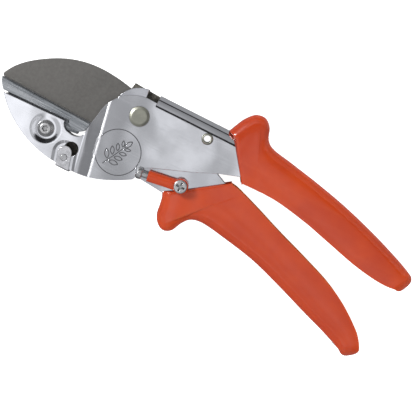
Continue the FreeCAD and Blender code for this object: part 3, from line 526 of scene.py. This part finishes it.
def ground_blade():
    """Matt blade steel with close grinding marks, faint spots and a bright back edge."""
    material, tree, shader = new_material("ground_blade")
    shader.inputs["Metallic"].default_value = 1.0
    lines = effect(tree, grind_lines, Scale=900.0, Turn=0.1)
    grit = effect(tree, soft_mottle, Scale=700.0)
    cloud = effect(tree, soft_mottle, Scale=45.0)
    base = mix_colour(tree, lines, (0.155, 0.150, 0.142, 1), (0.220, 0.213, 0.200, 1))
    spotted = mix_colour(tree, math_node(tree, "MULTIPLY", grit, 0.45), base, (0.13, 0.126, 0.12, 1))
    hazed = mix_colour(tree, math_node(tree, "MULTIPLY", cloud, 0.35), spotted, (0.21, 0.204, 0.194, 1))
    # Painted shade: the blade's colour goes near black in corners and recesses.
    shade_painted = with_painted_shade(tree, hazed, (0.04, 0.04, 0.04, 1), reach=1.2 * MM, strength=0.8)
    feed(tree, shader.inputs["Base Color"], shade_painted)
    feed(tree, shader.inputs["Roughness"], mix_value(tree, lines, 0.50, 0.64))
    eased = effect(tree, rounded, "Normal", Radius=0.25 * MM)
    bump(tree, shader, added(tree, (lines, 0.5), (grit, 0.7)), depth=0.04 * MM, strength=0.5, normal=eased)
    return material


def anvil_metal():
    """Soft white metal, drawn along its length and dulled by the blade."""
    material, tree, shader = new_material("anvil_metal")
    shader.inputs["Metallic"].default_value = 1.0
    lines = effect(tree, grind_lines, Scale=1300.0, Turn=math.pi / 2)
    cloud = effect(tree, soft_mottle, Scale=160.0)
    streak = smooth_step(tree, lines, 0.35, 0.65)
    base = mix_colour(tree, streak, (0.24, 0.26, 0.28, 1), (0.66, 0.68, 0.70, 1))
    dull = mix_colour(tree, math_node(tree, "MULTIPLY", cloud, 0.5), base, (0.34, 0.36, 0.38, 1))
    # Painted shade: the colour goes near black within 4 mm of corners, such as under the strip's edge.
    shade_painted = with_painted_shade(tree, dull, (0.02, 0.02, 0.022, 1), reach=4 * MM, strength=1.0)
    feed(tree, shader.inputs["Base Color"], shade_painted)
    feed(tree, shader.inputs["Roughness"], mix_value(tree, cloud, 0.20, 0.34))
    eased = effect(tree, rounded, "Normal", Radius=0.5 * MM)
    bump(tree, shader, lines, depth=0.08 * MM, strength=0.8, normal=eased)
    return material


def fastener_metal(name, colour, rough, tint, ease=0.3 * MM, shade_paint=0.85, reach=0.8 * MM):
    """Turned and plated small pieces, with a little tarnish."""
    material, tree, shader = new_material(name)
    shader.inputs["Metallic"].default_value = 1.0
    cloud = effect(tree, soft_mottle, Scale=350.0)
    fine = effect(tree, soft_mottle, Scale=1800.0)
    base = mix_colour(tree, cloud, colour, tint)
    # Painted shade: the colour goes dark in corners, slots and recesses.
    shade_painted = with_painted_shade(tree, base, (0.05, 0.05, 0.048, 1), reach, strength=shade_paint)
    feed(tree, shader.inputs["Base Color"], shade_painted)
    feed(tree, shader.inputs["Roughness"], mix_value(tree, cloud, rough, rough + 0.12))
    eased = effect(tree, rounded, "Normal", Radius=ease)
    bump(tree, shader, fine, depth=0.02 * MM, strength=0.3, normal=eased)
    return material


def orange_vinyl():
    """Thick glossy dipped coat with slow waves in its surface, finger haze and fine dust."""
    material, tree, shader = new_material("orange_vinyl")
    cloud = effect(tree, soft_mottle, Scale=38.0)
    smear = effect(tree, soft_mottle, Scale=140.0)
    scratch = effect(tree, hair_scratches, Scale=260.0)
    base = mix_colour(tree, cloud, (0.53, 0.058, 0.010, 1), (0.45, 0.044, 0.010, 1))
    wear_and_highlight = mix_colour(tree, math_node(tree, "MULTIPLY", scratch, 0.06), base, (0.60, 0.12, 0.05, 1))
    # Painted shade: the orange goes dark red in corners and recesses.
    shade_painted = with_painted_shade(tree, wear_and_highlight, (0.15, 0.012, 0.004, 1), reach=1.5 * MM, strength=0.7)
    feed(tree, shader.inputs["Base Color"], shade_painted)
    feed(tree, shader.inputs["Roughness"], mix_value(tree, smear, 0.16, 0.24))
    shader.inputs["Specular IOR Level"].default_value = 0.4
    shader.inputs["Coat Weight"].default_value = 0.4
    shader.inputs["Coat Roughness"].default_value = 0.03
    shader.inputs["Subsurface Weight"].default_value = 0.10
    shader.inputs["Subsurface Radius"].default_value = (3.0 * MM, 1.0 * MM, 0.4 * MM)
    shader.inputs["Subsurface Scale"].default_value = 1.0
    ripple = noise(tree, object_place(tree), 60.0, 2.0, 0.4)
    bump(tree, shader, ripple, depth=0.4 * MM, strength=0.3)
    return material


def spring_wire():
    """Dark drawn wire, lightly oiled."""
    material, tree, shader = new_material("spring_wire")
    shader.inputs["Metallic"].default_value = 1.0
    fine = effect(tree, soft_mottle, Scale=1500.0)
    base = mix_colour(tree, fine, (0.26, 0.26, 0.27, 1), (0.42, 0.42, 0.43, 1))
    # Painted shade: the wire goes near black where turns and cups crowd it.
    shade_painted = with_painted_shade(tree, base, (0.03, 0.03, 0.03, 1), reach=0.8 * MM, strength=0.7)
    feed(tree, shader.inputs["Base Color"], shade_painted)
    feed(tree, shader.inputs["Roughness"], mix_value(tree, fine, 0.28, 0.42))
    bump(tree, shader, fine, depth=0.02 * MM, strength=0.3)
    return material


# ---------------------------------------------------------------- grips

# Sizes here are in mm, from the pivot. A grip has a back, which the palm or fingers press on,
# and a rim on the other side, where the slot for the steel channel opens.
PATH_STEPS = 24  # fine steps between two stations
CROWDING = 1.5  # above 1, rings come closer together towards the tail
CORNER = 4.6  # radius of the back corners, and its largest share of the section
CORNER_OF_SPAN = 0.40
CORNER_OF_HALF = 0.62
CORNER_TURN = math.radians(86)
CORNER_STEPS = 10
BACK_FLAT = 0.55  # share of the flat back at which it has one more point
FACE_STEPS = 6
CROWN = 0.35  # how far the side stands out in its middle
LIP = 1.5  # radius of the rim's outer edge, and its largest share of the section
LIP_OF_SPAN = 0.4
LIP_OF_HALF = 0.2
LIP_STEPS = 4
EDGE_OF_LIP = 0.7  # radius of the slot's edge, as a share of the lip
SLOT_DEPTH = 13.0
SLOT_WALL = 2.4  # least wall beside the slot, in lips
BACK_WALL = 2.6  # least wall behind the slot
LEAST_DEPTH = 0.05
SLOT_FLOOR = [(0.5, 1.0), (0.93, 1.0), (1.0, 0.8), (1.0, 0.0)]  # shares of the slot's depth and half width
MOUTH_LIP = 0.8  # rounding at the end where the steel goes in
MOUTH_TURNS = (90, 60, 30)
TAIL = 5.5  # how far from the tip the sides start to close in
TIP_FLAT = 0.15  # keeps the last ring a little open
TAIL_TURNS = (0, 22, 44, 63, 78)
SIDE_CLEAR = 0.02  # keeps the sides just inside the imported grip
SHARP = math.radians(50)


def smooth_path(points, count):
    """Points along a smooth curve through all the given tuples of numbers, closer together at its end."""
    padded = [points[0]] + list(points) + [points[-1]]
    fine = []
    for index in range(1, len(padded) - 2):
        a, b, c, d = padded[index - 1:index + 3]
        for step in range(PATH_STEPS):
            t = step / PATH_STEPS
            fine.append(tuple(
                0.5 * (2 * q + (r - p) * t + (2 * p - 5 * q + 4 * r - s) * t * t
                       + (3 * q - p - 3 * r + s) * t ** 3)
                for p, q, r, s in zip(a, b, c, d)))
    fine.append(tuple(points[-1]))
    lengths = [0.0]
    for before, after in zip(fine, fine[1:]):
        lengths.append(lengths[-1] + math.dist(before, after))
    spaced = []
    index = 0
    for number in range(count):
        left = 1 - number / (count - 1)
        goal = lengths[-1] * (1 - left ** CROWDING)
        while index < len(fine) - 2 and lengths[index + 1] < goal:
            index += 1
        share = (goal - lengths[index]) / max(lengths[index + 1] - lengths[index], 1e-9)
        spaced.append(tuple(p + (q - p) * min(share, 1) for p, q in zip(fine[index], fine[index + 1])))
    return spaced


def turned_left(points, index):
    """The unit normal to the left of a line of points, at one of them."""
    before = points[max(index - 1, 0)]
    after = points[min(index + 1, len(points) - 1)]
    along = Vector((after[0] - before[0], after[1] - before[1], 0)).normalized()
    return Vector((-along.y, along.x, 0))


def loft(name, rings):
    """A closed smooth skin over rings of equally many points, as a new piece."""
    size = len(rings[0])
    last = (len(rings) - 1) * size
    faces = []
    for start in range(0, last, size):
        for step in range(size):
            after = (step + 1) % size
            faces.append((start + step, start + after, start + size + after, start + size + step))
    faces.append(tuple(range(size)))
    faces.append(tuple(reversed(range(last, last + size))))
    mesh = bpy.data.meshes.new(name)
    mesh.from_pydata([point for ring in rings for point in ring], [], faces)
    work = bmesh.new()
    work.from_mesh(mesh)
    bmesh.ops.recalc_face_normals(work, faces=work.faces)
    work.to_mesh(mesh)
    work.free()
    for polygon in mesh.polygons:
        polygon.use_smooth = True
    mesh.set_sharp_from_angle(angle=SHARP)
    piece = bpy.data.objects.new(name, mesh)
    bpy.context.collection.objects.link(piece)
    return piece


def grip_ring(back, inward, rim, outward, half, depth, slot, trim=0.0):
    """One closed ring of a grip: outside from the back round to the slot, and the same mirrored.

    The back corner is rounded square to the back line, so that it stays even round the bump.
    """
    span = (back - rim).length
    corner = min(CORNER, span * CORNER_OF_SPAN, half * CORNER_OF_HALF)
    lip = min(LIP, span * LIP_OF_SPAN, half * LIP_OF_HALF)
    edge = lip * EDGE_OF_LIP
    crown = CROWN * half * MM / GRIP_HALF
    slot = min(slot, half - SLOT_WALL * lip)
    depth = max(min(depth, span - BACK_WALL), LEAST_DEPTH)
    half = half - trim - crown
    side = [(back + inward * trim, 0.0), (back + inward * trim, (half - corner) * BACK_FLAT)]
    for step in range(CORNER_STEPS + 1):
        turn = CORNER_TURN * step / CORNER_STEPS
        place = back + inward * (trim + corner * (1 - math.cos(turn)))
        side.append((place, half - corner + corner * math.sin(turn)))
    start = side[-1][0]
    finish = rim + outward * (-lip)
    for step in range(1, FACE_STEPS):
        share = step / FACE_STEPS
        side.append((start.lerp(finish, share), half + crown * 4 * share * (1 - share)))
    into = (back - rim).normalized()
    quarter = [math.pi / 2 * step / LIP_STEPS for step in range(LIP_STEPS + 1)]
    for turn in quarter:
        side.append((rim + outward * (-lip * (1 - math.sin(turn))), half - lip + lip * math.cos(turn)))
    for turn in quarter:
        side.append((rim + into * (edge * (1 - math.cos(turn))), slot + edge - edge * math.sin(turn)))
    for deep, wide in SLOT_FLOOR:
        side.append((rim + into * (depth * deep), slot * wide))
    mirror = [(place, -height) for place, height in reversed(side[1:-1])]
    return [at(place.x, place.y, height) for place, height in side + mirror]


def grip_mesh(name, stations, count, slot, way):
    """A hollow grip lofted through (back x, back y, rim x, rim y); its tail is rounded off.

    The way is 1 where the grip's inside is to the left of its back line, and -1 where it is to the right.
    """
    rows = smooth_path(stations, count)
    backs = [Vector((row[0], row[1], 0)) for row in rows]
    rims = [Vector((row[2], row[3], 0)) for row in rows]
    tip = (backs[-1] + rims[-1]) / 2
    full = GRIP_HALF / MM - SIDE_CLEAR
    mouth = Vector((backs[0].y - rims[0].y, rims[0].x - backs[0].x, 0)).normalized()
    if mouth.x > 0:
        mouth = -mouth
    rings = []
    for degrees in MOUTH_TURNS:
        turn = math.radians(degrees)
        shift = mouth * MOUTH_LIP * math.sin(turn)
        trim = MOUTH_LIP * (1 - math.cos(turn))
        rings.append(grip_ring(backs[0] + shift, turned_left(backs, 0) * way, rims[0] + shift,
                               turned_left(rims, 0) * -way, full, SLOT_DEPTH, slot, trim))
    for index, (back, rim) in enumerate(zip(backs, rims)):
        left = ((back + rim) / 2 - tip).length
        short = 1 - min((left + TIP_FLAT) / TAIL, 1)
        half = full * math.sqrt(1 - short ** 2)
        depth = SLOT_DEPTH * min(max((left - TAIL) / (2 * TAIL), 0), 1)
        across = (rim - back).normalized()
        turned = min(left / (2 * TAIL), 1)
        inward = across.lerp(turned_left(backs, index) * way, turned).normalized()
        outward = (-across).lerp(turned_left(rims, index) * -way, turned).normalized()
        rings.append(grip_ring(back, inward, rim, outward, half, depth, slot))
    return loft(name, rings)


def round_tail(back_x, back_y, rim_x, rim_y, way):
    """Stations round a half circle that closes a grip past its last straight section."""
    back = Vector((back_x, back_y))
    rim = Vector((rim_x, rim_y))
    centre = (back + rim) / 2
    reach = rim - centre
    ahead = Vector((-reach.y, reach.x)) * way
    rows = []
    for degrees in TAIL_TURNS:
        turn = math.radians(degrees)
        side = reach * math.cos(turn)
        out = centre + ahead * math.sin(turn)
        rows.append((*(out - side), *(out + side)))
    return rows


# Stations run from the mouth to the tail, as (back x, back y, rim x, rim y): the bump, then the long handle.
UPPER_STATIONS = [
    (39.6, 13.5, 56.0, -4.1), (41.2, 17.2, 56.5, -4.1), (43.3, 21.3, 57.2, -4.1),
    (47.0, 25.2, 58.2, -4.0), (51.5, 25.8, 59.6, -4.0), (55.1, 22.8, 61.4, -3.9),
    (57.2, 17.8, 63.8, -3.9), (61.4, 14.8, 67.0, -3.8), (72.1, 12.9, 75.5, -4.3),
    (88.3, 9.9, 90.0, -6.8), (104.4, 6.2, 104.0, -10.2), (120.4, 1.5, 118.0, -13.6),
    (132.0, -2.5, 129.0, -15.3), (138.6, -5.0, 135.6, -15.6),
] + round_tail(143.9, -7.4, 140.6, -15.2, 1)
LOWER_STATIONS = [
    (24.9, -26.2, 52.0, -9.6), (25.9, -28.6, 52.4, -9.6), (26.5, -32.0, 53.0, -9.7),
    (27.2, -36.2, 53.8, -9.8), (29.6, -40.0, 54.8, -10.0), (33.2, -41.7, 55.8, -10.3),
    (36.9, -39.8, 57.0, -10.6), (39.3, -34.9, 58.4, -11.1), (42.6, -31.4, 60.0, -11.6),
    (48.5, -30.4, 63.0, -12.6), (60.0, -32.0, 69.0, -14.7), (76.4, -35.1, 82.0, -19.4),
    (92.3, -40.0, 97.0, -24.4), (108.2, -45.5, 112.0, -29.8), (120.0, -49.4, 122.0, -35.0),
    (127.0, -52.0, 131.4, -41.8), (129.6, -53.0, 135.2, -45.6),
] + round_tail(131.6, -53.8, 137.6, -49.3, -1)
UPPER_RINGS = 190
LOWER_RINGS = 200
UPPER_SLOT = 4.4  # half widths of the slots, near the channels' own
LOWER_SLOT = 2.6


def make_grips(material):
    """The two dipped coats; the slots inside them take the handles' channels."""
    upper = grip_mesh("upper_grip_coat", UPPER_STATIONS, UPPER_RINGS, UPPER_SLOT, -1)
    lower = grip_mesh("lower_grip_coat", LOWER_STATIONS, LOWER_RINGS, LOWER_SLOT, 1)
    for piece, body, node in ((upper, "anvil_side", "upper_grip"), (lower, "blade_side", "lower_grip")):
        piece.data.materials.append(material)
        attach(piece, body)
        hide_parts(node)


# ---------------------------------------------------------------- spring

WIRE = 0.5 * MM  # the wire's radius, and the coil's to the middle of the wire
COIL = 2.3 * MM
CUP_REACH = 3.0 * MM  # from a cross pin's middle to its cup's seat
SEAT_GAP = 0.05 * MM
TURNS = 8
CLOSED = 0.9  # turns that lie flat on each end
STEPS_PER_TURN = 28
WIRE_SIDES = 14


def tube(name, points, radius, sides):
    """A round wire along the points, with flat ends."""
    rings = []
    ahead = (points[1] - points[0]).normalized()
    side = ahead.orthogonal().normalized()
    turns = [2 * math.pi * step / sides for step in range(sides)]
    for index, point in enumerate(points):
        after = points[min(index + 1, len(points) - 1)]
        before = points[max(index - 1, 0)]
        ahead = (after - before).normalized()
        side = (side - ahead * side.dot(ahead)).normalized()
        other = ahead.cross(side)
        rings.append([point + (side * math.cos(turn) + other * math.sin(turn)) * radius for turn in turns])
    return loft(name, rings)


def make_spring(material):
    """A coil with closed ends between the two cups."""
    top = middle("spring_pin")
    foot = middle("spring_foot_pin")
    line = (foot - top).normalized()
    start = top + line * (CUP_REACH + WIRE + SEAT_GAP)
    end = foot - line * (CUP_REACH + WIRE + SEAT_GAP)
    side = Vector((0, 0, 1))
    other = line.cross(side)
    points = []
    for index in range(TURNS * STEPS_PER_TURN + 1):
        turn = index / STEPS_PER_TURN
        rise = min(max((turn - CLOSED) / (TURNS - 2 * CLOSED), 0), 1)
        lift = WIRE * (min(turn / CLOSED, 1) - min((TURNS - turn) / CLOSED, 1))
        angle = 2 * math.pi * turn
        around = side * math.cos(angle) * COIL + other * math.sin(angle) * COIL
        points.append(start + (end - start) * rise + line * lift + around)
    coil = tube("spring_coil", points, WIRE, WIRE_SIDES)
    coil.data.materials.append(material)
    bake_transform(coil)
    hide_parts("spring")


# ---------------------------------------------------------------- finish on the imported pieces

DULL_STEEL = (0.24, 0.23, 0.20, 1)


def dress(material, *names):
    """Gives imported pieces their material."""
    for name in names:
        node = NODES[name]
        node.data.materials.clear()
        node.data.materials.append(material)


def finish_nodes():
    chrome = plated_steel("polished_plate", (0.80, 0.81, 0.84, 1), 0.06, DULL_STEEL, shift=0.0)
    lever = plated_steel("polished_lever", (0.78, 0.79, 0.83, 1), 0.08, DULL_STEEL, shift=0.3)
    zinc = fastener_metal("yellow_zinc", (0.46, 0.46, 0.385, 1), 0.30, (0.36, 0.36, 0.31, 1), ease=0.5 * MM)
    bright = fastener_metal("bright_plate", (0.74, 0.74, 0.76, 1), 0.16, (0.60, 0.60, 0.62, 1))
    # The screws get the strongest painted shade, reaching 1.6 mm into their slots and sockets.
    screws = fastener_metal("screw_plate", (0.72, 0.72, 0.72, 1), 0.20, (0.58, 0.58, 0.58, 1),
                            shade_paint=1.0, reach=1.6 * MM)
    satin = fastener_metal("satin_steel", (0.60, 0.60, 0.61, 1), 0.24, (0.46, 0.46, 0.47, 1))
    bronze = fastener_metal("bush_bronze", (0.60, 0.38, 0.18, 1), 0.40, (0.45, 0.28, 0.13, 1))
    dress(chrome, "body_shell")
    dress(lever, "lever_shell")
    dress(ground_blade(), "blade")
    dress(anvil_metal(), "anvil")
    dress(zinc, "pivot_rivet", "spring_pin")
    dress(bright, "jaw_clip", "catch_arm")
    dress(screws, "anvil_screw", "catch_screw", "catch_stud")
    dress(satin, "jaw_clip_rivet", "anvil_screw_nut", "catch_nut", "pivot_washers", "blade_spacers",
          "blade_pin", "spring_foot_pin", "spring_cup_upper", "spring_cup_lower", "catch_spacer")
    dress(bronze, "pivot_bush")


make_camera()
make_floor()
make_lights()
make_world()
VINYL = orange_vinyl()
finish_nodes()
dress(VINYL, "catch_sleeve")
make_grips(VINYL)
make_spring(spring_wire())
